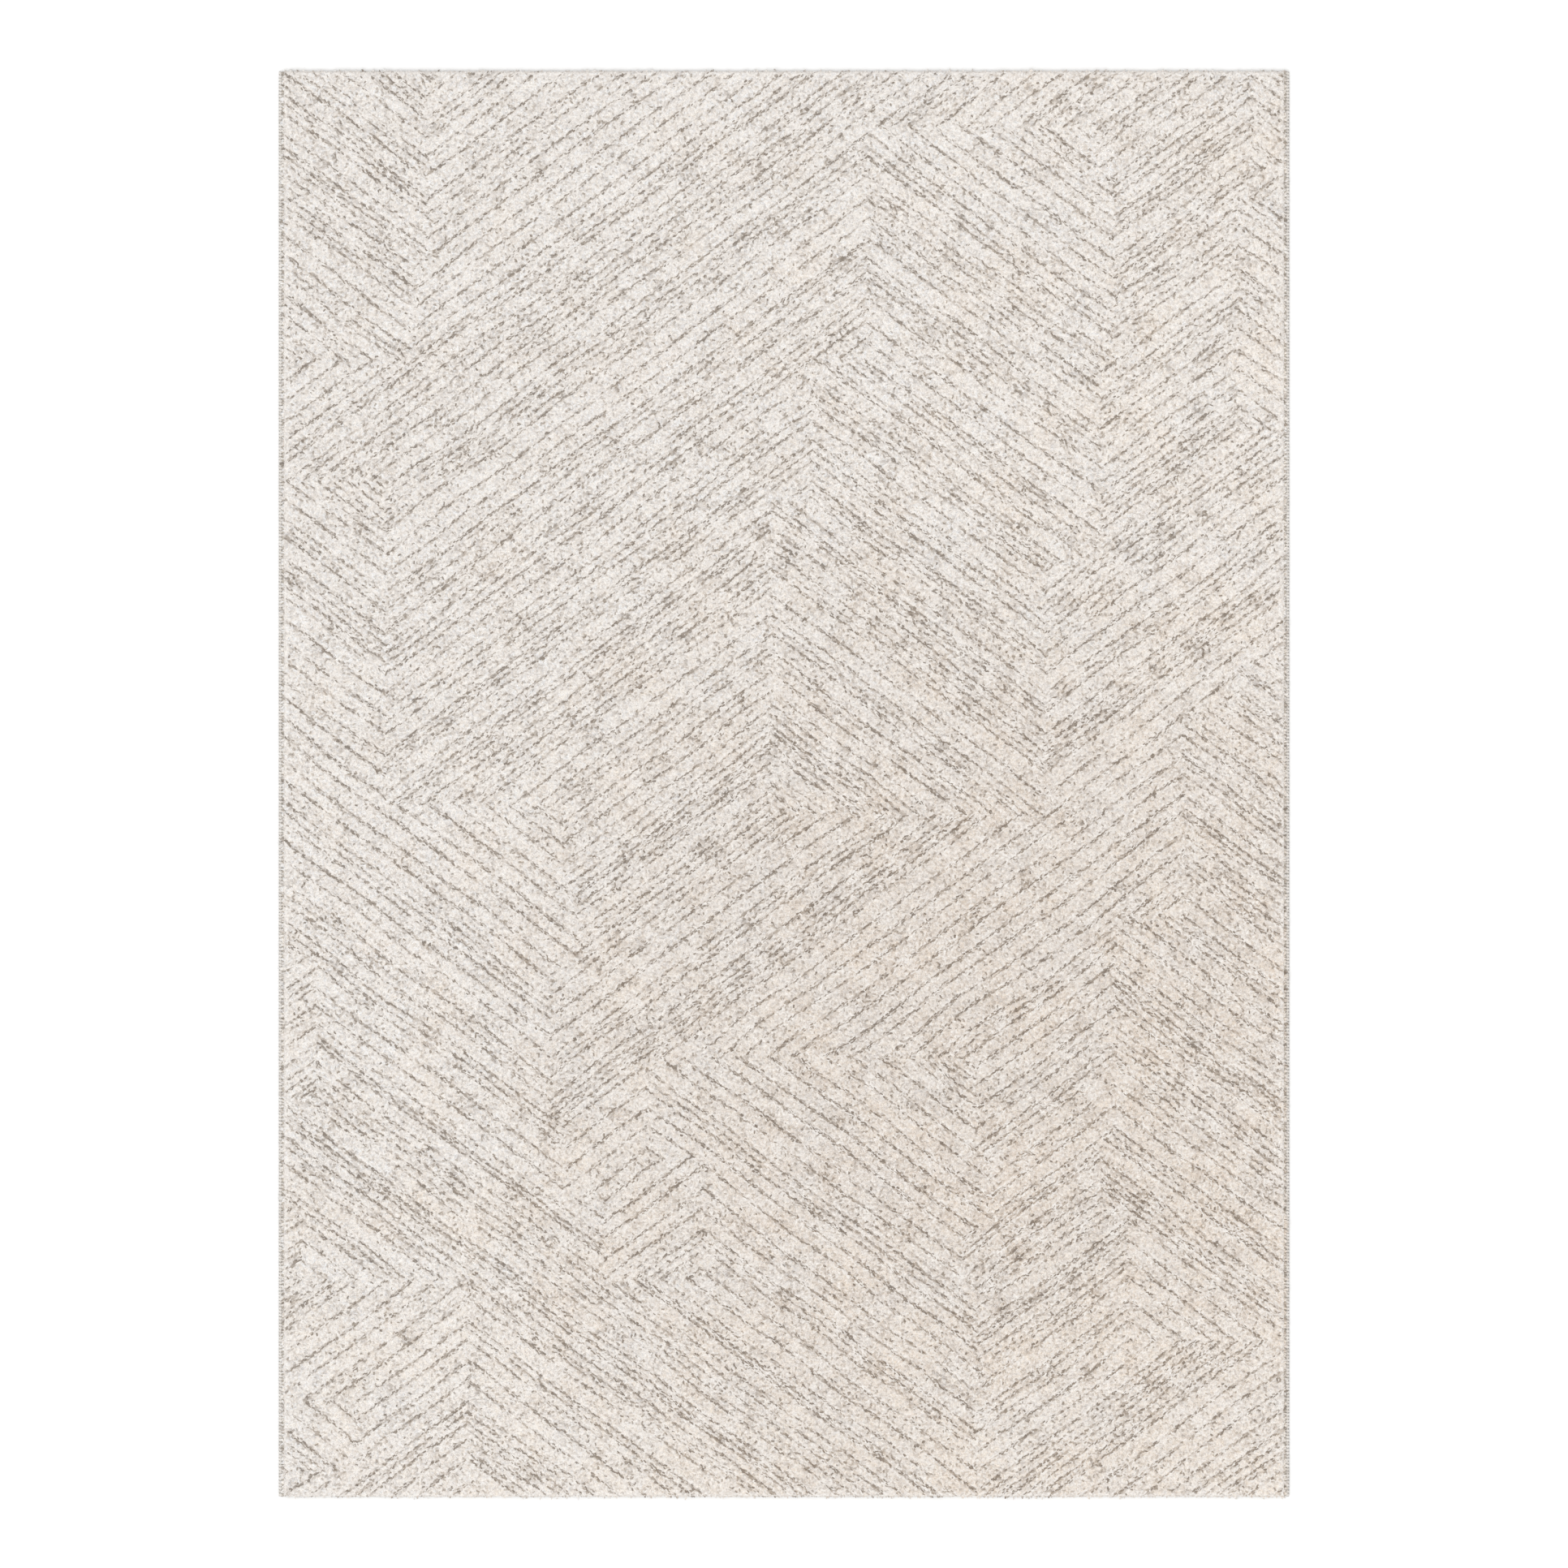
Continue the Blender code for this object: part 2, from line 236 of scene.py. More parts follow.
# stage
stage = {
    'viewWidth': 2.636,      # width of the view, at the rug's top
    'cameraHeight': 20.0,
    'sensor': 36.0,
    'farClip': 200,
    'floorSize': 90.0,
    'floorDrop': 0.0003,     # below the rug's underside
    'floorColours': [(0.93, 0.93, 0.925, 1), (0.95, 0.95, 0.945, 1)],
    'floorRoughness': 0.9,
    'skyColour': (0.985, 0.985, 0.99, 1),
    'skyStrength': 0.785,
    'sunHeight': 6,
    'sunStrength': 1.26,
    'sunAngle': 55,          # degrees, broad for soft shadows
    'sunTilt': (13, -8),     # degrees, away from straight down
}


def paintFloor():
    paint = Paint('paleFloor')
    tint = paint.cloud(0.6, 3)
    colour = paint.mix(tint, *stage['floorColours'])
    return paint.finish(colour, stage['floorRoughness'])


def setStage():
    bpy.context.scene.view_settings.view_transform = 'Standard'
    bpy.ops.object.camera_add(location=(0, 0, stage['cameraHeight']), rotation=(0, 0, 0))
    camera = bpy.context.active_object
    camera.data.sensor_width = stage['sensor']
    drop = stage['cameraHeight'] - cadHigh.z
    camera.data.lens = stage['sensor'] * drop / stage['viewWidth']
    camera.data.clip_end = stage['farClip']
    bpy.context.scene.camera = camera

    tiltX, tiltY = (radians(angle) for angle in stage['sunTilt'])
    bpy.ops.object.light_add(
        type='SUN', location=(0, 0, stage['sunHeight']), rotation=(tiltX, tiltY, 0))
    sun = bpy.context.active_object
    sun.data.energy = stage['sunStrength']
    sun.data.angle = radians(stage['sunAngle'])

    world = bpy.data.worlds.new('softStudio')
    bpy.context.scene.world = world
    world.use_nodes = True
    sky = world.node_tree.nodes['Background']
    sky.inputs['Color'].default_value = stage['skyColour']
    sky.inputs['Strength'].default_value = stage['skyStrength']

    bpy.ops.mesh.primitive_plane_add(
        size=stage['floorSize'], location=(0, 0, -stage['floorDrop']))
    floor = startPiece('floor', paintFloor())
    bpy.ops.object.select_all(action='DESELECT')
    print('stage: camera, sun, sky and floor')


# pile
pileNodes = [name for name in sorted(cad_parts) if name.startswith('pile_field')]
pileLow = np.min([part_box(name)[0] for name in pileNodes], axis=0)
pileHigh = np.max([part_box(name)[1] for name in pileNodes], axis=0)
pileHeight = pileHigh[2] - pileLow[2]

# slanted lines that are shorn into the pile, deep and fine ones by turns
ribs = {
    'pitch': 0.034,          # between two deep lines, along the rug
    'slope': 0.735,
    'wander': 0.0017,        # how far the lines bend, and over what lengths
    'wanderLengths': (0.24, 0.20),
    'deepStray': 0.0040,     # how far a whole line lies off its place
    'fineStray': 0.0050,
    'deepWidth': 0.0042,     # half width of a deep line, along the rug
    'fineWidth': 0.0040,
    'lines': 1024,           # more than the rug has
    'deepness': (0.75, 1.10),
    'fineness': (-0.55, 1.15),   # below 0 the line is missing
    'broadness': (0.80, 1.25),
    'fading': (0.10, 0.07),  # along one line, and over a patch of lines
    'fineFading': 1.3,       # times as much in fine lines
}

# falling (-1) and rising (+1) fields over a rising ground, each with its left, right,
# far and near border as a share of the rug, later ones over earlier ones
fields = [
    (-1, 0.000, 0.147, 0.000, 0.135), (-1, 0.000, 0.134, 0.135, 0.203),
    (-1, 0.000, 0.106, 0.287, 0.515), (-1, 0.000, 0.283, 0.515, 0.570),
    (-1, 0.000, 0.290, 0.570, 0.630), (-1, 0.000, 0.263, 0.630, 0.735),
    (-1, 0.000, 0.283, 0.735, 0.790), (-1, 0.000, 0.318, 0.790, 0.848),
    (-1, 0.190, 0.690, 0.848, 1.000),
    (-1, 0.360, 0.695, 0.694, 0.760), (-1, 0.412, 0.700, 0.760, 0.815),
    (-1, 0.412, 0.675, 0.815, 0.890),
    (1, 0.000, 0.038, 0.622, 0.722), (1, 0.000, 0.024, 0.795, 0.842),
    (-1, 0.000, 0.072, 0.932, 0.985),
    (-1, 0.588, 0.815, 0.042, 0.075), (-1, 0.588, 0.825, 0.075, 0.200),
    (-1, 0.522, 0.820, 0.200, 0.305), (-1, 0.490, 0.815, 0.305, 0.345),
    (-1, 0.486, 0.757, 0.345, 0.518),
    (-1, 0.968, 1.000, 0.000, 0.070), (-1, 0.956, 1.000, 0.090, 0.250),
    (-1, 0.948, 1.000, 0.418, 0.445), (-1, 0.899, 1.000, 0.445, 0.594),
    (-1, 0.832, 1.000, 0.594, 0.745), (-1, 0.816, 1.000, 0.745, 0.800),
    (-1, 0.842, 1.000, 0.800, 0.890),
]

tuft = {
    'spacing': 0.0040,
    'rootShare': 0.45,       # of the pile's height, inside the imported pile
    'rootLength': 0.0058,
    'rootWidth': 0.0044,
    'ridgeLength': 0.0024,   # along the cut end of the yarn
    'jitter': 0.0016,
    'lean': 0.0024,
    'flatten': (0.80, 1.30),
    'cut': 0.0020,           # uneven shearing
    'gather': 0.46,          # of the way into a shorn line
    'parting': 0.0020,       # how far those beside a line lean away from it
    'lineDrop': 0.0012,
    'splayWidth': 2.5,       # in spacings, how many outer tufts splay out and stand lower
    'endFlare': 0.0028,
    'sideFlare': 0.0056,
    'edgeDrop': 0.0024,
    'rimWidth': 1.5,         # in spacings, how many of them show their roots
    'endRoot': 0.5,          # size of those roots at the rug's ends and sides
    'sideRoot': 0.8,
    'sideInset': 0.0008,     # of those roots
    'endInset': 0.0022,
    'cornerRadius': 0.010,
    'curve': 1.6,            # how late a leaning tuft bends
    'tone': 0.74,            # of the cut ends, from 0 for dark to 1 for light
    'toneSpread': 0.22,
    'smallPatches': 0.025,   # how much lighter or darker faint patches are
    'largePatches': 0.03,
    'flecks': 0.05,          # share of darker ends
    'fleckDepth': 0.32,
    'lineShade': 0.60,       # how much darker ends in a line are, partly greyer yarn and partly painted shade of the shorn groove
    'ridgeHighlight': 0.12,      # painted highlight: how much lighter those beside it are
    'borderPaintedLight': 0.26,     # and painted light on those at the rug's edge, against their shade
    'strips': 12,
}


# +1 where the lines rise to the right and -1 where they fall
def ribSlant(x, y):
    across = ribs['pitch'] / ribs['slope'] / 2
    along = ribs['pitch'] / 2
    width = pileHigh[0] - pileLow[0]
    length = pileHigh[1] - pileLow[1]
    slant = np.ones_like(x)
    for kind, left, right, far, near in fields:
        sides = [round((share - 0.5) * width / across) * across for share in (left, right)]
        ends = [round((0.5 - share) * length / along) * along for share in (far, near)]
        if left == 0:
            sides[0] -= 1
        if right == 1:
            sides[1] += 1
        if far == 0:
            ends[0] += 1
        if near == 1:
            ends[1] -= 1
        inside = (x > sides[0]) & (x < sides[1]) & (y < ends[0]) & (y > ends[1])
        slant[inside] = kind
    return slant


# the nearest shorn line: how deep it is, its half width, and the way from it along the rug
def nearestLine(x, y):
    rng = np.random.default_rng(31)
    lines = ribs['lines']
    strays = rng.uniform(-1, 1, lines)
    deepness = rng.uniform(*ribs['deepness'], lines)
    fineness = rng.uniform(*ribs['fineness'], lines)
    broadness = rng.uniform(*ribs['broadness'], lines)
    lengthX, lengthY = ribs['wanderLengths']
    u = x + ribs['wander'] * softNoise(x, y, lengthX, 1)
    v = y + ribs['wander'] * softNoise(x, y, lengthY, 2)
    half = ribs['pitch'] / 2
    phase = (v - ribSlant(x, y) * ribs['slope'] * u) / half
    number = np.round(phase).astype(int)
    isDeep = number % 2 == 0
    stray = strays[number] * np.where(isDeep, ribs['deepStray'], ribs['fineStray'])
    away = (phase - number) * half - stray
    alongLine, overPatch = ribs['fading']
    fading = alongLine * softNoise(x, number * 0.37, 0.10, 3)    # 0.37 m sets lines apart
    fading = fading + overPatch * softNoise(x, y, 0.16, 4)
    deep = np.clip(deepness[number] + fading, 0.3, 1.15)
    fine = np.clip(fineness[number] + ribs['fineFading'] * fading, 0, 1)
    depth = np.where(isDeep, deep, fine)
    width = broadness[number] * np.where(isDeep, ribs['deepWidth'], ribs['fineWidth'])
    return depth, width, away


pileColours = {
    'yarn': [                # from the darkest tone to the lightest
        (0.00, (0.32, 0.278, 0.242)),
        (0.20, (0.48, 0.428, 0.382)),
        (0.45, (0.75, 0.71, 0.68)),
        (0.70, (0.91, 0.88, 0.862)),
        (1.00, (0.99, 0.975, 0.965)),
    ],
    'patchTints': [(0.975, 0.98, 0.985, 1), (1.0, 0.965, 0.922, 1)],    # cool and warm
    'fleckTints': [(0.985, 0.995, 1.0, 1), (1.0, 0.975, 0.93, 1)],
    'darkerArea': (0.91, 0.885, 0.862, 1),
    'darkerAreaCentre': (0.30, -0.45),
    # painted shade low on the tufts, between them, and how much of it
    'deep': (0.76, 0.73, 0.70, 1),
    'rootShadeShare': 0.45,
    'fibre': (0.86, 0.84, 0.82, 1),
    'fibreShare': 0.15,
}


def paintPile():
    paint = Paint('heatheredPile')
    heather = paint.attribute('heather')
    rise = paint.attribute('rise')
    x, y, _ = paint.axes()
    yarn = paint.ramp(heather, pileColours['yarn'])

    # warmer patches, more of them to the right and at the near end, and finer flecks
    warm = paint.cloud(9, 2) * 2.0 - 0.70 + 0.35 * x - 0.25 * y
    fleck = paint.cloud(150, 1) * 3 - 1
    for amount, tints in ((warm, 'patchTints'), (fleck, 'fleckTints')):
        tint = paint.mix(amount.clipped(), *pileColours[tints])
        yarn = paint.mix(1.0, yarn, tint, 'MULTIPLY')

    # a broad area that is a little darker and greyer
    centreX, centreY = pileColours['darkerAreaCentre']
    far = (x - centreX) ** 2 + (y - centreY) ** 2
    darkerArea = (1 - 1.1 * far).clipped() + 0.6 * paint.cloud(3.5, 2) - 0.3
    yarn = paint.mix(darkerArea.clipped(), yarn, pileColours['darkerArea'], 'MULTIPLY')

    # painted shade: darker down between the tufts, where they shadow each other
    deep = (1 - rise) * pileColours['rootShadeShare']
    yarn = paint.mix(deep, yarn, pileColours['deep'], 'MULTIPLY')
    fibre = paint.cloud(1400, 2)
    amount = fibre * pileColours['fibreShare']
    colour = paint.mix(amount, yarn, pileColours['fibre'], 'MULTIPLY')
    normal = paint.bump(fibre, 0.0004, 0.5)
    roughness = 0.86 + 0.1 * fibre
    return paint.finish(colour, roughness, normal)


# one end of yarn: four sides that close to a short ridge
def modelTuft(material):
    height = pileHeight * (1 - tuft['rootShare'])
    bpy.ops.mesh.primitive_plane_add(size=1, location=(0, 0, 0))
    stem = startPiece('tuft', material)
    bpy.ops.object.mode_set(mode='EDIT')
    bpy.ops.mesh.select_all(action='SELECT')
    bpy.ops.transform.resize(
        value=(tuft['rootLength'], tuft['rootWidth'], 1), center_override=(0, 0, 0))
    bpy.ops.mesh.delete(type='ONLY_FACE')
    bpy.ops.mesh.select_all(action='SELECT')
    bpy.ops.mesh.extrude_region_move(TRANSFORM_OT_translate={'value': (0, 0, height)})
    shrink = tuft['ridgeLength'] / tuft['rootLength']
    bpy.ops.transform.resize(value=(shrink, 1, 1), center_override=(0, 0, height))
    bpy.ops.object.mode_set(mode='OBJECT')
    for sign in (-1, 1):
        pick(stem, 'VERT', lambda place: place.z > height / 2 and place.x * sign > 0)
        bpy.ops.mesh.merge(type='CENTER')
        bpy.ops.object.mode_set(mode='OBJECT')
    bpy.ops.object.mode_set(mode='EDIT')
    bpy.ops.mesh.select_all(action='SELECT')
    bpy.ops.mesh.normals_make_consistent(inside=False)
    bpy.ops.object.mode_set(mode='OBJECT')
    bpy.ops.object.shade_smooth()
    return stem


# leans, shears and colours every tuft of one strip
def combTufts(strip, rows, across, seed):
    rng = np.random.default_rng(seed)
    places = readPlaces(strip).reshape(rows, across, -1, 3)
    foot = places[..., :2].mean(axis=2)
    local = places[..., :2] - foot[:, :, None]
    rise = (places[..., 2] - pileLow[2]) / (pileHeight * (1 - tuft['rootShare']))

    def chance(low, high):
        return rng.uniform(low, high, (rows, across))

    stagger = (np.arange(rows) % 2 - 0.5) * 0.5 * tuft['spacing']
    x = foot[..., 0] + stagger[:, None] + chance(-1, 1) * tuft['jitter']
    y = foot[..., 1] + chance(-1, 1) * tuft['jitter']

    # the corners are a little round
    reach = tuft['cornerRadius']
    overX = np.maximum(np.abs(x) - (pileHigh[0] - reach), 0)
    overY = np.maximum(np.abs(y) - (pileHigh[1] - reach), 0)
    beyond = np.maximum(np.hypot(overX, overY) / reach, 1)
    x -= np.sign(x) * overX * (1 - 1 / beyond)
    y -= np.sign(y) * overY * (1 - 1 / beyond)
    x = np.clip(x, pileLow[0] + tuft['sideInset'], pileHigh[0] - tuft['sideInset'])
    y = np.clip(y, pileLow[1] + tuft['endInset'], pileHigh[1] - tuft['endInset'])

    # tufts of a shorn line gather in it, and those beside it lean away; share is how
    # many half widths of the line a tuft stands from it
    depth, width, away = nearestLine(x, y)
    slant = ribSlant(x, y) * ribs['slope']
    steep = 1 + ribs['slope'] ** 2
    share = np.abs(away) / width
    member = depth * np.clip(2.0 - 1.3 * share, 0, 1)
    beside = depth * np.clip(1.9 - np.abs(share - 2.3), 0, 1) * np.sign(away)
    pull = tuft['gather'] * np.minimum(member, 1) * away / steep
    x += pull * slant
    y -= pull
    part = tuft['parting'] * beside / steep ** 0.5

    turn = chance(0, 2 * pi)
    turn = np.where(member > 0.4, np.arctan(slant) + chance(-0.4, 0.4), turn)
    wide, narrow = chance(1, tuft['flatten'][1]), chance(tuft['flatten'][0], 1)
    localX, localY = local[..., 0] * wide[..., None], local[..., 1] * narrow[..., None]
    turnCos, turnSin = np.cos(turn)[..., None], np.sin(turn)[..., None]
    turnedX = localX * turnCos - localY * turnSin
    turnedY = localX * turnSin + localY * turnCos

    leanTurn = chance(0, 2 * pi)
    lean = tuft['lean'] * np.sqrt(chance(0, 1)) * (1 - 0.5 * np.minimum(member, 1))
    leanX = lean * np.cos(leanTurn) - part * slant
    leanY = lean * np.sin(leanTurn) + part

    # the outer tufts splay out over the rug's edge
    splay = tuft['splayWidth'] * tuft['spacing']
    toEnd = pileHigh[1] - np.abs(y)
    flare = np.clip(1 - toEnd / splay, 0, 1) * tuft['endFlare']
    leanY += np.sign(y) * flare * chance(-0.3, 1.5)
    toSide = pileHigh[0] - np.abs(x)
    flare = np.clip(1 - toSide / splay, 0, 1) * tuft['sideFlare']
    leanX += np.sign(x) * flare * chance(0.4, 1.2)
    border = np.clip(1 - np.minimum(toSide, toEnd) / splay, 0, 1)

    # heights: shorn at the top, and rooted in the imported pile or, at the rim, in the cloth
    line = np.clip(member * chance(0.55, 1.25), 0, 1)
    ridge = np.clip(beside * chance(0, 1.2), 0, 1)
    drop = np.maximum(line, 0.3 * chance(0, 1) ** 3)
    top = pileHeight - tuft['lineDrop'] * drop - tuft['cut'] * chance(0, 1) ** 2
    top -= tuft['edgeDrop'] * border ** 2
    rim = tuft['rimWidth'] * tuft['spacing']
    atRim = np.minimum(toSide, toEnd) < rim
    root = np.where(atRim, 0, tuft['rootShare'] * pileHeight)
    height = root[..., None] + rise * (top - root)[..., None]
    slimness = np.where(toEnd < rim, tuft['endRoot'], tuft['sideRoot'])
    slim = np.where(atRim[..., None] & (rise < 0.5), slimness[..., None], 1)
    turnedX, turnedY = turnedX * slim, turnedY * slim
    curve = rise ** tuft['curve']
    places[..., 0] = x[..., None] + turnedX + leanX[..., None] * curve
    places[..., 1] = y[..., None] + turnedY + leanY[..., None] * curve
    places[..., 2] = pileLow[2] + height
    writePlaces(strip, places)

    # tones: every end its own, in faint patches 5 and 11 cm across
    patch = tuft['smallPatches'] * softNoise(x, y, 0.05, 11)
    patch = patch + tuft['largePatches'] * softNoise(x, y, 0.11, 12)
    # painted light: the splayed outer ends are lighter, against the shade they stand in
    patch += tuft['borderPaintedLight'] * border
    heather = tuft['tone'] + tuft['toneSpread'] * rng.standard_normal((rows, across)) + patch
    heather -= np.where(chance(0, 1) < tuft['flecks'], tuft['fleckDepth'], 0)
    # ends in a shorn line: partly greyer yarn, partly painted shade; ends beside it: painted
    # highlight
    heather = heather - tuft['lineShade'] * line + tuft['ridgeHighlight'] * ridge
    heather = np.clip(heather, 0, 1)
    ends = places.shape[2]
    addAttribute(strip, 'heather', np.repeat(heather[..., None], ends, axis=2))
    addAttribute(strip, 'rise', rise)


# gives every tuft its own square of the map, as seen from above
def mapTufts(strip, stem, count):
    mesh = strip.data
    side = int(np.ceil(count ** 0.5))
    fill = 0.94    # of a square, so that neighbours stay apart
    shape = readPlaces(stem)[:, :2] * fill / (tuft['rootLength'], tuft['rootWidth'])
    loops = np.empty(len(mesh.loops), dtype=np.int64)
    mesh.loops.foreach_get('vertex_index', loops)
    cell, corner = loops // len(shape), loops % len(shape)
    u = (cell % side + 0.5 + shape[corner, 0]) / side
    v = (cell // side + 0.5 + shape[corner, 1]) / side
    while mesh.uv_layers:
        mesh.uv_layers.remove(mesh.uv_layers[0])
    layer = mesh.uv_layers.new(name='OFBake')
    layer.uv.foreach_set('vector', np.stack([u, v], axis=1).astype(np.float32).ravel())


packedPile = {
    'topShare': 0.60,        # of the pile's height
    'inset': 0.0016,         # from the outer tufts
    'rounding': 0.0040,
    'creaseAngle': 60,
    'cell': 0.016,
    'unevenness': 0.0005,
    'waveLength': 0.06,
    # painted shade: the packed yarn is darker than the cut ends, as yarn in their shadow
    'colours': [
        (0.30, (0.62, 0.58, 0.54)), (0.50, (0.76, 0.72, 0.68)), (0.70, (0.87, 0.84, 0.80))],
}


# the mass of yarn under the tips, which closes the gaps between them
def makePackedPile():
    paint = Paint('packedPile')
    speckle = paint.cloud(260, 2)
    # painted shade: darker tones of the same yarn, as in shadow under the tips
    colour = paint.ramp(speckle, packedPile['colours'])
    material = paint.finish(colour, 0.95, paint.bump(speckle, 0.001))
    size = pileHigh - pileLow - 2 * packedPile['inset']
    bpy.ops.mesh.primitive_grid_add(
        x_subdivisions=int(size[0] / packedPile['cell']),
        y_subdivisions=int(size[1] / packedPile['cell']), size=1)
    piece = startPiece('packedPile', material)
    bpy.ops.object.mode_set(mode='EDIT')
    bpy.ops.mesh.select_all(action='SELECT')
    bpy.ops.transform.resize(value=(size[0], size[1], 1), center_override=(0, 0, 0))
    bpy.ops.mesh.region_to_loop()
    top = packedPile['topShare'] * pileHeight
    bpy.ops.mesh.extrude_region_move(TRANSFORM_OT_translate={'value': (0, 0, -top)})
    bpy.ops.object.mode_set(mode='OBJECT')
    pick(piece, 'EDGE', lambda place: place.z > -top / 2 and (
        meets(abs(place.x), size[0] / 2) or meets(abs(place.y), size[1] / 2)))
    bpy.ops.mesh.bevel(offset=packedPile['rounding'], segments=3)
    bpy.ops.object.mode_set(mode='OBJECT')
    places = readPlaces(piece)
    wave = softNoise(places[:, 0], places[:, 1], packedPile['waveLength'], 21)
    wave = np.where(places[:, 2] > -top / 2, packedPile['unevenness'] * wave, 0)
    places[:, 2] += pileLow[2] + top + wave
    writePlaces(piece, places)
    bpy.ops.object.shade_smooth_by_angle(angle=radians(packedPile['creaseAngle']))
    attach(piece, 'root')
    piece.select_set(False)
    print('packed pile:', round(size[0], 4), 'by', round(size[1], 4))
    return piece


# the tufts: one is modelled, and rows of copies make each strip across the rug
def makePile():
    material = paintPile()
    stem = modelTuft(material)
    spacing = tuft['spacing']
    across = int((pileHigh[0] - pileLow[0]) / spacing)
    stepX = (pileHigh[0] - pileLow[0]) / across
    allRows = round((pileHigh[1] - pileLow[1]) / spacing / tuft['strips']) * tuft['strips']
    stepY = (pileHigh[1] - pileLow[1]) / allRows
    rows = allRows // tuft['strips']
    strips = []
    for number in range(tuft['strips']):
        strip = stem.copy()
        strip.data = stem.data.copy()
        strip.name = f'pileStrip{number + 1:02d}'
        bpy.context.collection.objects.link(strip)
        bpy.context.view_layer.objects.active = strip
        strip.select_set(True)
        firstY = pileLow[1] + (number * rows + 0.5) * stepY
        places = readPlaces(strip) + (pileLow[0] + stepX / 2, firstY, pileLow[2])
        writePlaces(strip, places)
        arrayOf(strip, across, (stepX, 0, 0))
        arrayOf(strip, rows, (0, stepY, 0))
        combTufts(strip, rows, across, 100 + number)
        mapTufts(strip, stem, rows * across)
        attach(strip, 'root')
        strip.select_set(False)
        strips.append(strip)
    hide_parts(*pileNodes)
    bpy.data.objects.remove(stem)
    print('pile:', len(strips), 'strips of', rows * across, 'tufts')
    return strips


# edges: a filler cord along each side and the yarn that is overcast round it
edge = {
    'turnPitch': 0.0054,     # between two turns of the yarn, along the rug
    'turnFlats': 11,
    'yarnFlats': 5,
    'yarnThickness': 0.0012,
    'yarnFill': 1.12,        # width of a turn as a share of its pitch
    'slant': 9,              # degrees
    'unevenY': 0.0003,
    'unevenRadius': 0.035,
    'yarnColours': [
        (0.0, (0.68, 0.64, 0.595)), (0.5, (0.85, 0.815, 0.77)), (1.0, (0.95, 0.925, 0.89))],
    # painted shade in the grooves between plies
    'plyShade': (0.78, 0.75, 0.71, 1),
    'gapShade': (0.70, 0.66, 0.62, 1),    # painted shade between two turns
    'fibreShade': (0.80, 0.78, 0.75, 1),
    'cordTurn': 0.018,       # length of one twist of the filler cord
    'cordPlies': 3,
    'cordSides': 14,
    'cordRound': 0.0006,
    'cordColours': [
        (0.0, (0.50, 0.46, 0.40)), (0.4, (0.72, 0.68, 0.61)), (1.0, (0.84, 0.81, 0.75))],
}


def paintSerging():
    paint = Paint('sergingYarn')
    tone = paint.attribute('tone')
    around = paint.attribute('around')
    aside = paint.attribute('aside')
    plies = (around * 5.0 + aside * 7.0).wave()
    fibre = paint.cloud(1500, 3)
    colour = paint.ramp(tone, edge['yarnColours'])
    # painted shade: darker in the grooves between the plies
    colour = paint.mix((0.5 - 0.5 * plies) * 0.3, colour, edge['plyShade'], 'MULTIPLY')
    # painted shade: darker at the sides of each turn, between two turns
    colour = paint.mix(aside.size() ** 4 * 0.5, colour, edge['gapShade'], 'MULTIPLY')
    colour = paint.mix(fibre * 0.3, colour, edge['fibreShade'], 'MULTIPLY')
    normal = paint.bump(plies * 0.7 + fibre * 0.5, 0.0005, 0.8)
    return paint.finish(colour, 0.82 + 0.12 * fibre, normal)


def paintEdgeCord(centreX, centreZ):
    paint = Paint('fillerCord')
    x, y, z = paint.axes()
    angle = paint.add('Math', {'operation': 'ARCTAN2'}, {0: z - centreZ, 1: x - centreX})
    ply = (edge['cordPlies'] * angle + y * (2 * pi / edge['cordTurn'])).wave()
    fibre = paint.cloud(900, 2)
    # painted shade: darker in the grooves between the plies
    colour = paint.ramp(0.5 + 0.35 * ply + 0.3 * (fibre - 0.5), edge['cordColours'])
    return paint.finish(colour, 0.9, paint.bump(ply + 0.4 * fibre, 0.0006))


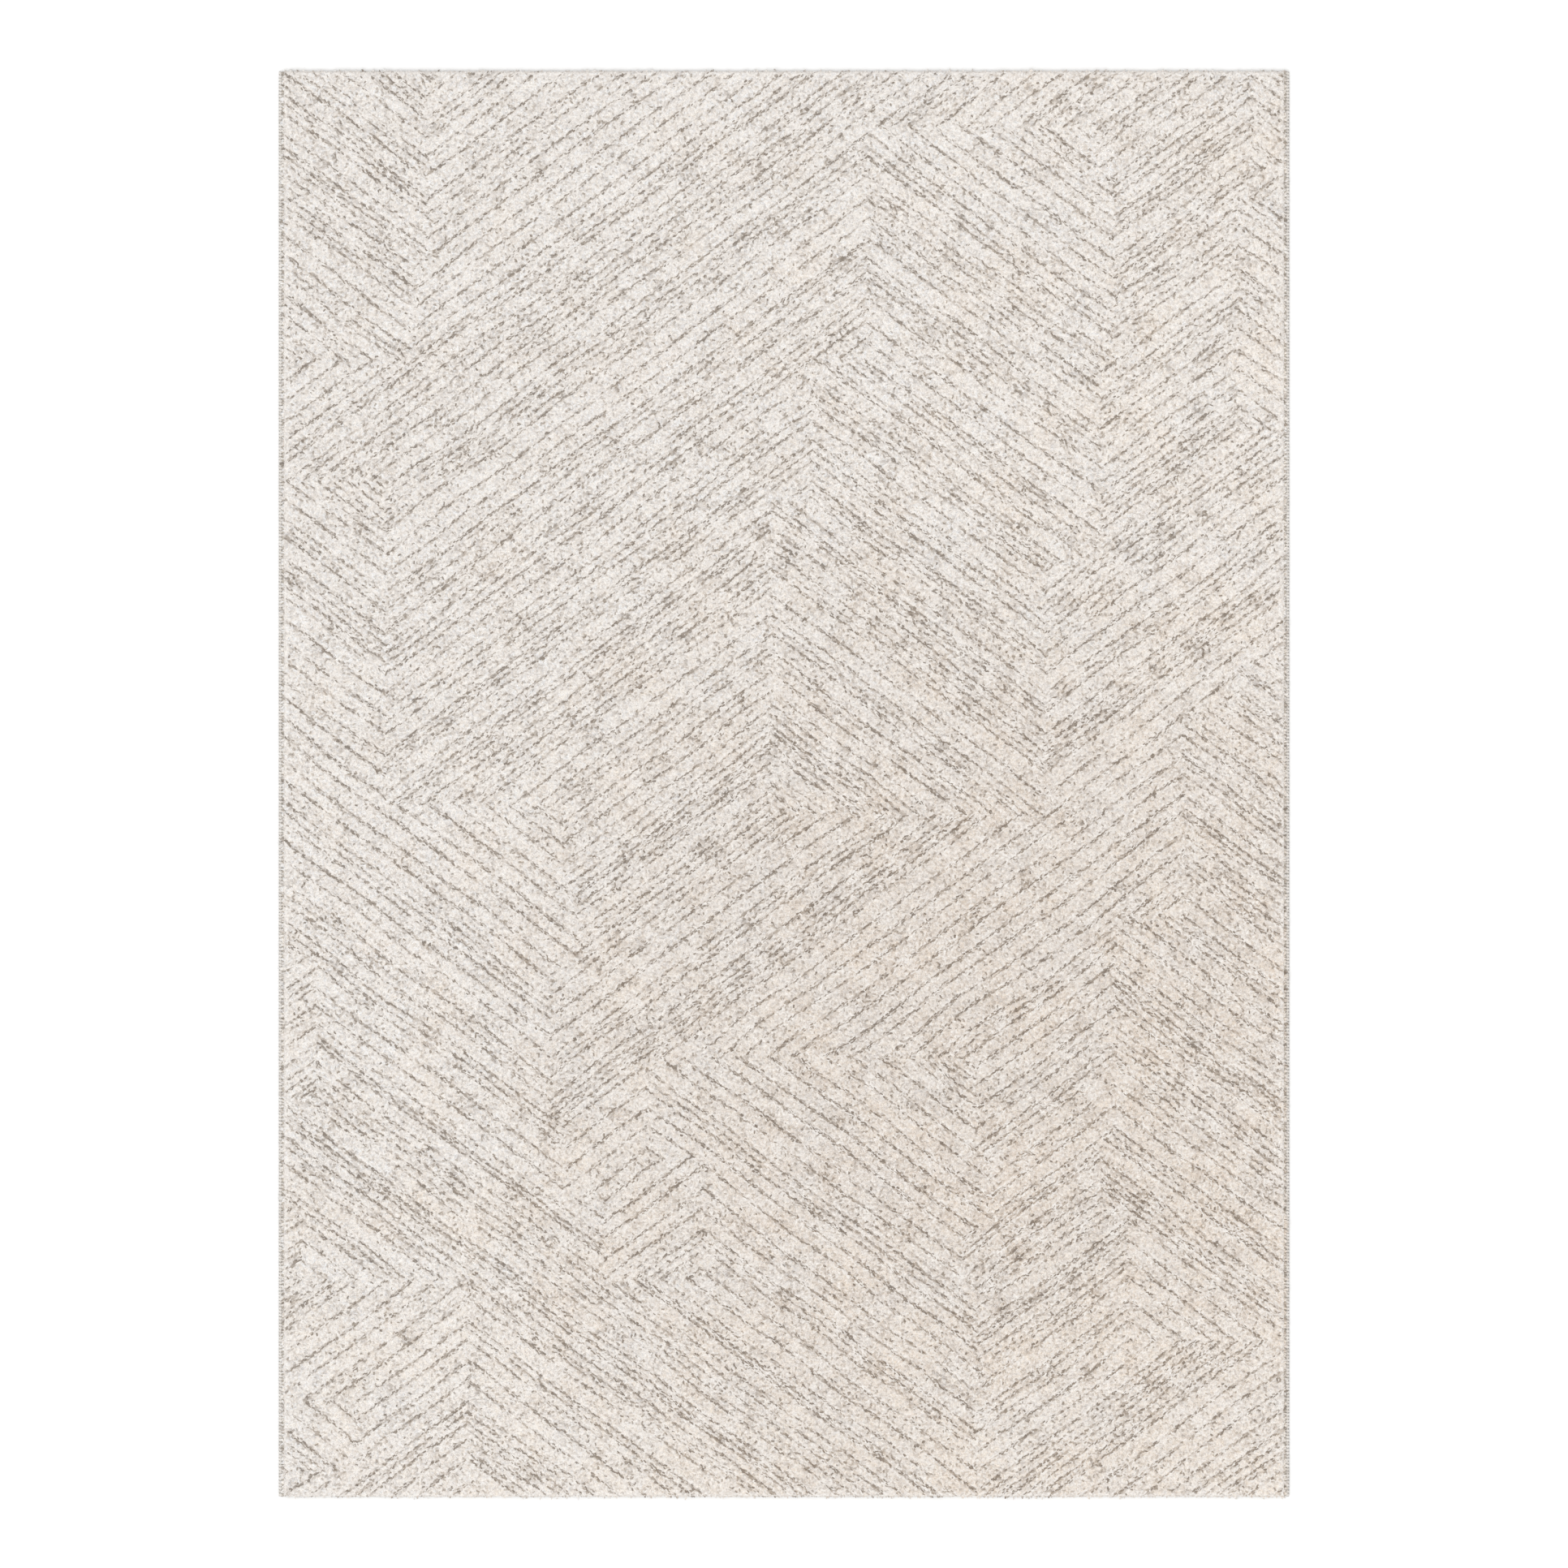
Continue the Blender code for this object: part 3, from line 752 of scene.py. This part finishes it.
def makeEdge(side, material):
    cordLow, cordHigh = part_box(side + '_edge_cord')
    wrapLow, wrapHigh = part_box(side + '_serging')
    centreX, centreZ = (cordLow.x + cordHigh.x) / 2, (cordLow.z + cordHigh.z) / 2
    outer = (wrapHigh.z - wrapLow.z) / 2
    halfYarn = edge['yarnThickness'] / 2
    length = wrapHigh.y - wrapLow.y
    turns = round(length / edge['turnPitch'])
    pitch = length / turns
    halfTurn = pitch * edge['yarnFill'] / 2
    bpy.ops.mesh.primitive_torus_add(
        major_segments=edge['turnFlats'], minor_segments=edge['yarnFlats'],
        major_radius=outer - halfYarn, minor_radius=halfYarn,
        rotation=(pi / 2, 0, 0), location=(0, 0, 0))
    bpy.ops.object.transform_apply(location=True, rotation=True, scale=True)
    turn = startPiece(side + 'Serging', material)
    bpy.ops.object.mode_set(mode='EDIT')
    bpy.ops.mesh.select_all(action='SELECT')
    widen = pitch * edge['yarnFill'] / edge['yarnThickness']
    bpy.ops.transform.resize(value=(1, widen, 1), center_override=(0, 0, 0))
    bpy.ops.object.mode_set(mode='OBJECT')
    flat = readPlaces(turn)
    around = np.arctan2(flat[:, 2], flat[:, 0])
    aside = flat[:, 1] / halfTurn
    bpy.ops.object.mode_set(mode='EDIT')
    bpy.ops.transform.rotate(
        value=radians(edge['slant']), orient_axis='Z', center_override=(0, 0, 0))
    bpy.ops.object.mode_set(mode='OBJECT')
    bpy.ops.object.shade_smooth()
    arrayOf(turn, turns, (0, pitch, 0))

    # the turns are spread from end to end, each a little off its place and size
    rng = np.random.default_rng(40 + len(side))
    places = readPlaces(turn).reshape(turns, -1, 3)
    step = np.arange(turns)[:, None] * pitch
    size = 1 + edge['unevenRadius'] * rng.uniform(-1, 0.3, (turns, 1))
    reach = (wrapHigh.y - halfTurn) - wrapLow.y - halfTurn
    places[..., 1] += rng.uniform(-1, 1, (turns, 1)) * edge['unevenY'] - step
    places[..., 1] += step * reach / (length - pitch)
    places[..., 1] += wrapLow.y + halfTurn
    places[..., 0] = centreX + places[..., 0] * size
    places[..., 2] = centreZ + places[..., 2] * size
    writePlaces(turn, places)
    tone = np.clip(0.55 + 0.2 * rng.standard_normal((turns, 1)), 0, 1)
    addAttribute(turn, 'tone', np.repeat(tone, places.shape[1], axis=1))
    addAttribute(turn, 'around', np.tile(around, turns))
    addAttribute(turn, 'aside', np.tile(aside, turns))
    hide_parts(side + '_serging')
    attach(turn, 'root')
    turn.select_set(False)

    radius = (cordHigh.z - cordLow.z) / 2
    bpy.ops.mesh.primitive_cylinder_add(
        vertices=edge['cordSides'], radius=radius, depth=cordHigh.y - cordLow.y,
        rotation=(pi / 2, 0, 0), location=(centreX, 0, centreZ))
    bpy.ops.object.transform_apply(location=True, rotation=True, scale=True)
    cord = startPiece(side + 'EdgeCord', paintEdgeCord(centreX, centreZ))
    for end in (cordLow.y, cordHigh.y):
        pick(cord, 'EDGE', lambda place: meets(place.y, end))
        bpy.ops.mesh.bevel(offset=edge['cordRound'], segments=2)
        bpy.ops.object.mode_set(mode='OBJECT')
    bpy.ops.object.shade_smooth_by_angle(angle=creaseAngle)
    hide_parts(side + '_edge_cord')
    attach(cord, 'root')
    cord.select_set(False)
    print(side, 'edge:', turns, 'turns of yarn')
    return [turn, cord]


# a flat cloth between two corners, made of a grid
def layCloth(name, material, low, high, cells):
    bpy.ops.mesh.primitive_grid_add(
        x_subdivisions=cells[0], y_subdivisions=cells[1], size=1,
        location=[(a + b) / 2 for a, b in zip(low, high)])
    cloth = startPiece(name, material)
    cloth.scale = (high[0] - low[0], high[1] - low[1], 1)
    bpy.ops.object.transform_apply(location=True, rotation=True, scale=True)
    return cloth


def thicken(piece, thickness):
    wall = piece.modifiers.new('thickness', 'SOLIDIFY')
    wall.thickness = thickness
    wall.offset = 0
    bpy.ops.object.modifier_apply(modifier=wall.name)


# a plain weave: its height, and how far the yarns along Y lie on top, both from 0 to 1
def plainWeave(x, y, pitchX, pitchY):
    waveX = (x * (pi / pitchX)).wave()
    waveY = (y * (pi / pitchY)).wave()
    over = (0.5 + 1.5 * waveX * waveY).clipped()
    return waveX.size() * over + waveY.size() * (1 - over), over


# ground cloth, turned under at both ends
ground = {
    'yarnPitch': 0.0016,
    'yarnStretch': 1.1,      # pitch along the rug, over the pitch across it
    'layerGap': 0.0003,      # over the latex coat
    'flap': 0.025,           # turned under at each end
    'foldSteps': 5,
    'cells': (30, 42),
    'colours': [
        (0.0, (0.38, 0.34, 0.28)), (0.4, (0.64, 0.58, 0.49)), (1.0, (0.80, 0.76, 0.69))],
}


def paintGround():
    paint = Paint('groundCotton')
    x, y, _ = paint.axes()
    pitch = ground['yarnPitch']
    weave, _ = plainWeave(x, y, pitch, pitch * ground['yarnStretch'])
    slub = paint.cloud(120, 3)
    # painted shade: darker where the weave lies low, between the yarns
    colour = paint.ramp(0.6 * weave + 0.5 * slub - 0.05, ground['colours'])
    normal = paint.bump(weave + 0.3 * slub, 0.0005, 0.8)
    return paint.finish(colour, 0.86 + 0.08 * slub, normal)


def makeGround():
    low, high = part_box('ground_cloth')
    _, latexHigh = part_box('latex_coat')
    thickness = high.z - (latexHigh.z + ground['layerGap'])
    middle = high.z - thickness / 2
    under = low.z + thickness / 2
    radius = (middle - under) / 2
    foldY = high.y - thickness / 2 - radius
    flap = foldY - (high.y - ground['flap'])
    cloth = layCloth('groundCloth', paintGround(), (low.x, -foldY, middle),
                     (high.x, foldY, middle), ground['cells'])
    for sign in (-1, 1):
        pick(cloth, 'EDGE', lambda place: meets(place.y, sign * foldY))
        bpy.ops.mesh.spin(
            steps=ground['foldSteps'], angle=pi, center=(0, sign * foldY, middle - radius),
            axis=(-sign, 0, 0))
        bpy.ops.mesh.extrude_region_move(
            TRANSFORM_OT_translate={'value': (0, -sign * flap, 0)})
        bpy.ops.object.mode_set(mode='OBJECT')
    thicken(cloth, thickness)
    bpy.ops.object.mode_set(mode='EDIT')
    bpy.ops.mesh.select_all(action='SELECT')
    bpy.ops.mesh.normals_make_consistent(inside=False)
    bpy.ops.object.mode_set(mode='OBJECT')
    bpy.ops.object.shade_smooth_by_angle(angle=creaseAngle)
    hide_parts('ground_cloth')
    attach(cloth, 'root')
    cloth.select_set(False)
    length = 2 * (foldY + pi * radius + flap)
    print('ground cloth: cut', round(high.x - low.x, 4), 'by', round(length, 4))
    return cloth, (high.x - low.x, length)


latex = {
    'lumps': 90,
    'colours': [
        (0.3, (0.62, 0.58, 0.49)), (0.5, (0.76, 0.73, 0.64)), (0.7, (0.86, 0.84, 0.78))],
}


# the coat between the two cloths keeps its CAD shape
def paintLatex():
    paint = Paint('latexCoat')
    lump = paint.cloud(latex['lumps'], 3)
    colour = paint.ramp(lump, latex['colours'])
    return paint.finish(colour, 0.55 + 0.2 * lump, paint.bump(lump, 0.001, 0.6))


# woven backing, pressed in where the care label lies
backing = {
    'yarnPitchX': 0.0025,
    'yarnPitchY': 0.0029,
    'cells': (24, 34),
    'labelMargin': 0.0008,
    'labelSlope': 0.007,     # how far the pressed hollow runs out
    'labelGap': 0.0003,
    'sway': 0.0012,          # how far the yarns wander
    'fibres': (2600, 170),   # across and along a yarn
    'colours': [
        (0.0, (0.15, 0.12, 0.085)), (0.25, (0.37, 0.305, 0.22)),
        (0.6, (0.56, 0.48, 0.37)), (1.0, (0.71, 0.63, 0.51))],
}


def paintBacking():
    paint = Paint('juteBacking')
    x, y, _ = paint.axes()
    sway = paint.cloud(14, 2) * backing['sway']
    weave, over = plainWeave(x + sway, y + sway, backing['yarnPitchX'], backing['yarnPitchY'])
    slub = paint.cloud(75, 4)
    fine, coarse = backing['fibres']
    alongY = paint.cloud(1, 3, paint.add('CombineXYZ', {}, {0: x * fine, 1: y * coarse}))
    alongX = paint.cloud(1, 3, paint.add('CombineXYZ', {}, {0: x * coarse, 1: y * fine}))
    fibre = alongY * over + alongX * (1 - over)
    # painted shade: darker where the weave lies low, between the yarns
    tone = 0.60 * weave + 0.55 * slub + 0.75 * fibre - 0.52
    colour = paint.ramp(tone, backing['colours'])
    normal = paint.bump(weave + 0.35 * slub + 0.5 * fibre, 0.0011, 0.9)
    return paint.finish(colour, 0.84 + 0.1 * fibre, normal)


def makeBacking():
    low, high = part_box('backing_cloth')
    labelLow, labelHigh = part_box('care_label')
    thickness = high.z - low.z
    cloth = layCloth('backingCloth', paintBacking(), (low.x, low.y, high.z - thickness / 2),
                     (high.x, high.y, high.z - thickness / 2), backing['cells'])

    # cuts along the foot, the middle and the brim of the hollow's slope
    margin, slope = backing['labelMargin'], backing['labelSlope']
    for axis in (0, 1):
        turn = (1, 0, 0) if axis == 0 else (0, 1, 0)
        for shift in (margin, margin + slope / 2, margin + slope):
            for place in (labelLow[axis] - shift, labelHigh[axis] + shift):
                bpy.ops.object.mode_set(mode='EDIT')
                bpy.ops.mesh.select_all(action='SELECT')
                bpy.ops.mesh.bisect(plane_co=[place * way for way in turn], plane_no=turn)
                bpy.ops.object.mode_set(mode='OBJECT')
    thicken(cloth, thickness)
    places = readPlaces(cloth)
    aside = np.maximum(labelLow[0] - margin - places[:, 0], places[:, 0] - labelHigh[0] - margin)
    ahead = np.maximum(labelLow[1] - margin - places[:, 1], places[:, 1] - labelHigh[1] - margin)
    away = np.clip(np.maximum(aside, ahead) / slope, 0, 1)
    fall = 1 - away * away * (3 - 2 * away)
    hollow = fall * (labelHigh.z + backing['labelGap'] - low.z)
    below = places[:, 2] < low.z + thickness / 2
    places[:, 2] += np.where(below, hollow, 0)
    writePlaces(cloth, places)
    bpy.ops.object.shade_smooth_by_angle(angle=creaseAngle)
    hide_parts('backing_cloth')
    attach(cloth, 'root')
    cloth.select_set(False)
    print('backing: laid')
    return cloth, (high.x - low.x, high.y - low.y)


# tape and stitches over each turned end
hem = {
    'twill': 0.0013,         # pitch of the tape's slanted lines
    'band': 0.0050,          # width of one band of the herringbone
    'weft': 0.0006,          # pitch of the yarns across the tape
    'cells': (40, 6),
    'selvedge': 0.0012,      # width of the flat border
    'wave': 0.00006,         # how far the rest lies unevenly
    'waveLength': 0.11,
    'tapeColours': [
        (0.0, (0.42, 0.37, 0.29)), (0.4, (0.64, 0.58, 0.49)), (1.0, (0.82, 0.77, 0.68))],
    'stitchPitch': 0.0046,
    'stitchShare': 0.74,     # of the pitch that shows
    'stitchSides': 6,
    'stitchDip': 0.0004,
    'stitchTaper': 0.6,      # size of a stitch's ends
    'stitchStray': 0.00012,
    'twist': 0.0005,         # pitch of the thread's plies
    'threadColours': [
        (0.0, (0.30, 0.24, 0.17)), (0.5, (0.50, 0.42, 0.32)), (1.0, (0.66, 0.58, 0.46))],
}


def paintTape():
    paint = Paint('herringboneTape')
    x, y, _ = paint.axes()
    zigzag = paint.add('Math', {'operation': 'PINGPONG'}, {0: y, 1: hem['band']})
    twill = ((x + zigzag) * (2 * pi / hem['twill'])).wave()
    weft = (y * (2 * pi / hem['weft'])).wave()
    slub = paint.cloud(160, 3)
    # painted shade: darker in the low lines of the twill and between the weft yarns
    tone = 0.45 + 0.25 * twill + 0.5 * (slub - 0.5) + 0.05 * weft
    colour = paint.ramp(tone, hem['tapeColours'])
    normal = paint.bump(twill + 0.3 * weft + 0.2 * slub, 0.00035, 0.9)
    return paint.finish(colour, 0.80 + 0.12 * slub, normal)


def paintThread():
    paint = Paint('sewingThread')
    x, y, _ = paint.axes()
    twist = ((x + y) * (2 * pi / hem['twist'])).wave()
    tint = paint.cloud(300, 1)
    # painted shade: darker in the grooves of the twist
    colour = paint.ramp(0.5 + 0.3 * twist + 0.4 * (tint - 0.5), hem['threadColours'])
    return paint.finish(colour, 0.48 + 0.1 * tint, paint.bump(twist, 0.0001))


# one lock stitch along X from the origin, its ends dipping into the cloth
def modelStitch(name, material, radius, length, dip):
    half = length / 2 - radius
    bpy.ops.mesh.primitive_cylinder_add(
        vertices=hem['stitchSides'], radius=radius, depth=2 * half, end_fill_type='NOTHING',
        rotation=(0, pi / 2, 0), location=(0, 0, 0))
    bpy.ops.object.transform_apply(location=True, rotation=True, scale=True)
    stitch = startPiece(name, material)
    for sign in (-1, 1):
        pick(stitch, 'EDGE', lambda place: meets(place.x, sign * half))
        bpy.ops.mesh.extrude_region_move(
            TRANSFORM_OT_translate={'value': (sign * radius, 0, dip)})
        bpy.ops.transform.resize(
            value=[hem['stitchTaper']] * 3, center_override=(sign * (half + radius), 0, dip))
        bpy.ops.mesh.edge_face_add()
        bpy.ops.object.mode_set(mode='OBJECT')
    bpy.ops.object.mode_set(mode='EDIT')
    bpy.ops.mesh.select_all(action='SELECT')
    bpy.ops.mesh.normals_make_consistent(inside=False)
    bpy.ops.object.mode_set(mode='OBJECT')
    bpy.ops.object.shade_smooth()
    return stitch


def makeHem(end, tapeMaterial, threadMaterial):
    low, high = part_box(end + '_hem_tape')
    tape = layCloth(end + 'HemTape', tapeMaterial, (low.x, low.y, (low.z + high.z) / 2),
                    (high.x, high.y, (low.z + high.z) / 2), hem['cells'])
    places = readPlaces(tape)
    inner = np.minimum(places[:, 1] - low.y, high.y - places[:, 1]) > hem['selvedge']
    wave = hem['wave'] * softNoise(places[:, 0], places[:, 1], hem['waveLength'], 51)
    places[:, 2] += np.where(inner, wave, 0)
    writePlaces(tape, places)
    thicken(tape, high.z - low.z)
    bpy.ops.object.shade_smooth_by_angle(angle=creaseAngle)
    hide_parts(end + '_hem_tape')
    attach(tape, 'root')
    tape.select_set(False)

    threadLow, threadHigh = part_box(end + '_hem_thread')
    radius = (threadHigh.z - threadLow.z) / 2
    pitch = hem['stitchPitch']
    count = int((threadHigh.x - threadLow.x) / pitch)
    row = modelStitch(end + 'HemStitches', threadMaterial, radius,
                      pitch * hem['stitchShare'], hem['stitchDip'])
    arrayOf(row, count, (pitch, 0, 0))
    rng = np.random.default_rng(60 + len(end))
    places = readPlaces(row).reshape(count, -1, 3)
    startX = threadLow.x + (threadHigh.x - threadLow.x - (count - 1) * pitch) / 2
    middleY = (threadLow.y + threadHigh.y) / 2
    places[..., 0] += startX
    places[..., 1] += middleY + rng.uniform(-1, 1, (count, 1)) * hem['stitchStray']
    places[..., 2] += (threadLow.z + threadHigh.z) / 2
    writePlaces(row, places)
    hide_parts(end + '_hem_thread')
    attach(row, 'root')
    row.select_set(False)
    print(end, 'hem:', count, 'stitches')
    return tape, row, (high.x - low.x, high.y - low.y)


# blank care label and its stitches
label = {
    'cells': (24, 16),
    'ripple': 0.00005,
    'rippleLength': 0.03,
    'stitchPitch': 0.0026,
    'stitchShare': 0.70,     # of the pitch that shows
    'stitchDip': 0.00022,
    'satin': 0.00045,        # pitch of the lengthwise yarns
    'satinStretch': 2.5,     # pitch of the cross yarns, over that
    'colours': [
        (0.0, (0.52, 0.50, 0.46)), (0.5, (0.66, 0.645, 0.61)), (1.0, (0.77, 0.755, 0.72))],
}


def paintLabel():
    paint = Paint('labelSatin')
    x, y, _ = paint.axes()
    line = (x * (2 * pi / label['satin'])).wave()
    cross = (y * (2 * pi / (label['satin'] * label['satinStretch']))).wave()
    cloud = paint.cloud(60, 2)
    # painted shade: darker between the lengthwise and the cross yarns
    tone = 0.5 + 0.15 * line + 0.1 * cross + 0.4 * (cloud - 0.5)
    colour = paint.ramp(tone, label['colours'])
    normal = paint.bump(line + 0.4 * cross, 0.00008, 0.7)
    return paint.finish(colour, 0.36 + 0.12 * cloud, normal, **{'Sheen Weight': 0.3})


def makeLabel(threadMaterial):
    low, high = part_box('care_label')
    cloth = layCloth('careLabel', paintLabel(), (low.x, low.y, (low.z + high.z) / 2),
                     (high.x, high.y, (low.z + high.z) / 2), label['cells'])
    places = readPlaces(cloth)
    wave = softNoise(places[:, 0], places[:, 1], label['rippleLength'], 71)
    places[:, 2] += label['ripple'] * wave
    writePlaces(cloth, places)
    thicken(cloth, high.z - low.z)
    bpy.ops.object.shade_smooth_by_angle(angle=creaseAngle)
    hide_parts('care_label')
    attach(cloth, 'root')
    cloth.select_set(False)

    low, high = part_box('label_thread')
    radius = (high.z - low.z) / 2
    pitch = label['stitchPitch']
    middle = (low + high) / 2

    # one row of stitches along each side of the label, joined into one piece
    rows = []
    for axis, reach in ((0, high.y - radius), (0, low.y + radius),
                        (1, high.x - radius), (1, low.x + radius)):
        row = modelStitch('labelStitches', threadMaterial, radius,
                          pitch * label['stitchShare'], label['stitchDip'])
        count = int((high[axis] - low[axis]) / pitch)
        arrayOf(row, count, (pitch, 0, 0))
        places = readPlaces(row)
        places[:, 0] -= (count - 1) * pitch / 2
        if axis == 1:
            places[:, :2] = np.stack([-places[:, 1], places[:, 0]], axis=1)
        places[:, axis] += middle[axis]
        places[:, 1 - axis] += reach
        places[:, 2] += middle.z
        writePlaces(row, places)
        row.select_set(False)
        rows.append(row)
    for row in rows:
        row.select_set(True)
    bpy.context.view_layer.objects.active = rows[0]
    bpy.ops.object.join()
    stitches = rows[0]
    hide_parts('label_thread')
    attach(stitches, 'root')
    stitches.select_set(False)
    print('label: sewn on')
    return cloth, stitches


# the stage, then the rug, from the yarn on top down to the label underneath
setStage()
packed = makePackedPile()
strips = makePile()
sergingMaterial = paintSerging()
edges = makeEdge('left', sergingMaterial) + makeEdge('right', sergingMaterial)
groundCloth, groundCut = makeGround()
backingCloth, backingCut = makeBacking()
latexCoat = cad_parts['latex_coat']
latexCoat.data.materials.clear()
latexCoat.data.materials.append(paintLatex())
print('latex coat: painted')
tapeMaterial, threadMaterial = paintTape(), paintThread()
nearTape, nearStitches, tapeCut = makeHem('near', tapeMaterial, threadMaterial)
farTape, farStitches, tapeCut = makeHem('far', tapeMaterial, threadMaterial)
careLabel, labelStitches = makeLabel(threadMaterial)
